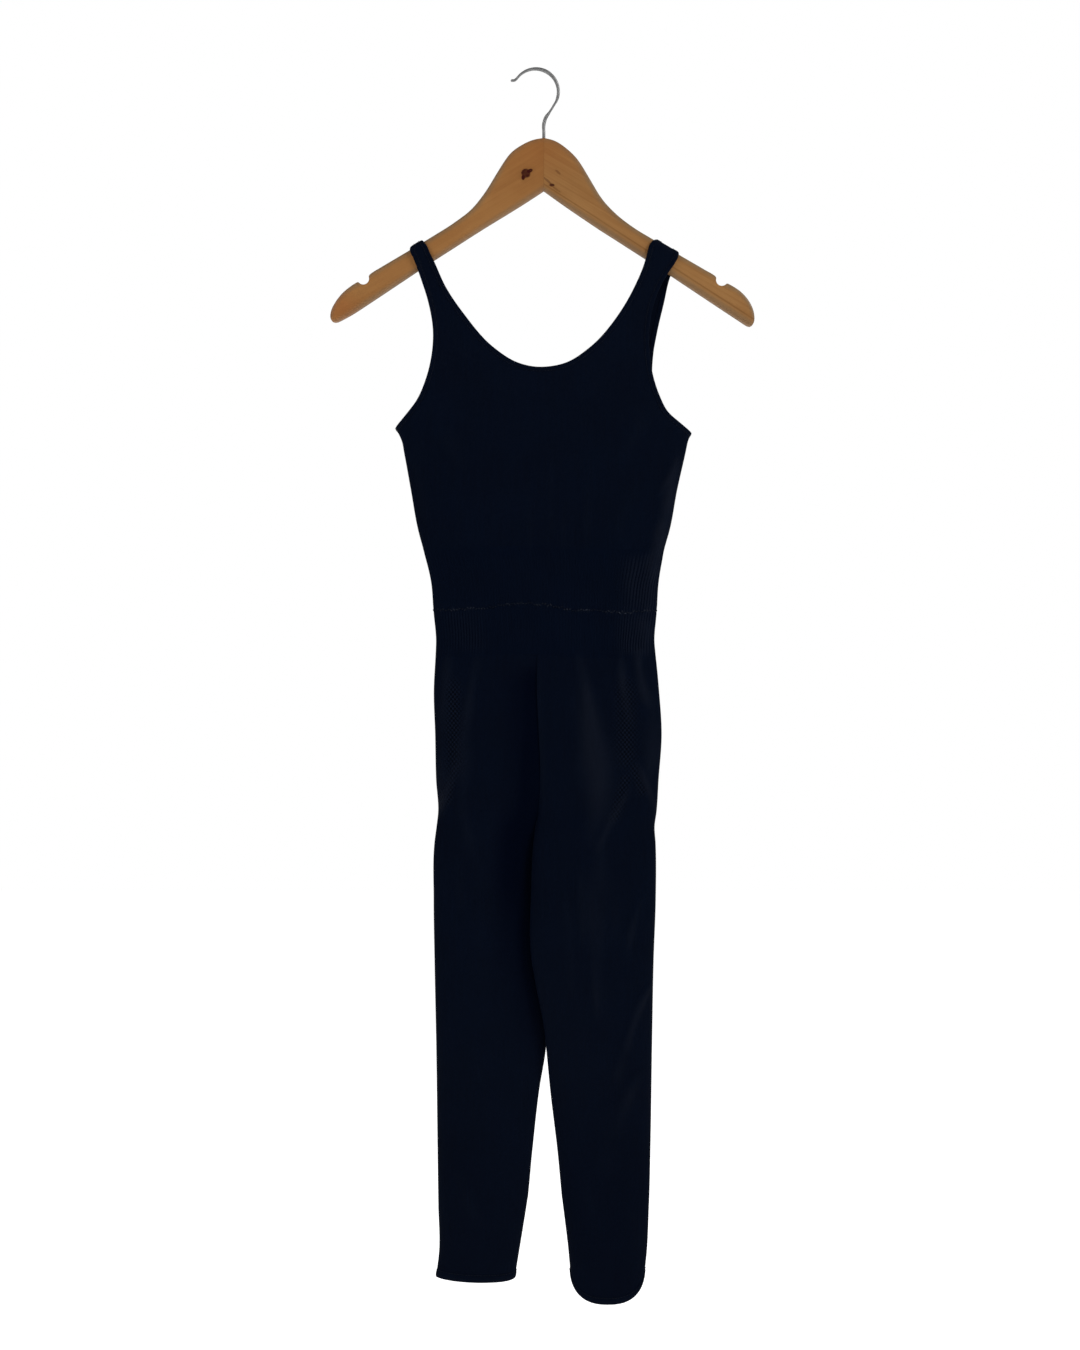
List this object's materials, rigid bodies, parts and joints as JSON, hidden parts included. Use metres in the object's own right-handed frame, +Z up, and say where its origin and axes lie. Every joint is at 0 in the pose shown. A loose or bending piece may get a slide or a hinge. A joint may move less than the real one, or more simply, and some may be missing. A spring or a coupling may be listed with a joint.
{
  "type": "sleeveless jumpsuit on hanger",
  "caption": "Slim sleeveless scoop-neck knitted jumpsuit with a ribbed waist and tapered legs, hanging by its straps from a wooden hanger with a wire hook.",
  "frame": {"origin": "the inside top of the hanger's hook, where a rail carries it", "axes": "+Z up, the garment's front faces -Y, +X to the right as seen from the front"},
  "size_m": [0.4467, 0.0321, 1.2915],
  "materials": {
    "knit": "matt very dark navy fine seamless knit",
    "rib": "matt very dark navy fine rib",
    "binding": "matt very dark navy folded edge band",
    "pine": "satin varnished honey pine",
    "wire": "polished"
  },
  "bodies": {
    "root": {"bodice_front": "knit", "bodice_back": "knit", "leg_left": "knit", "leg_right": "knit", "neck_binding": "binding", "armhole_binding_left": "binding", "armhole_binding_right": "binding", "waist_rib_upper": "rib", "waist_rib_lower": "rib", "hem_left": "binding", "hem_right": "binding", "hanger_arm_left": "pine", "hanger_arm_right": "pine", "hanger_hook": "wire"}
  },
  "joints": []
}
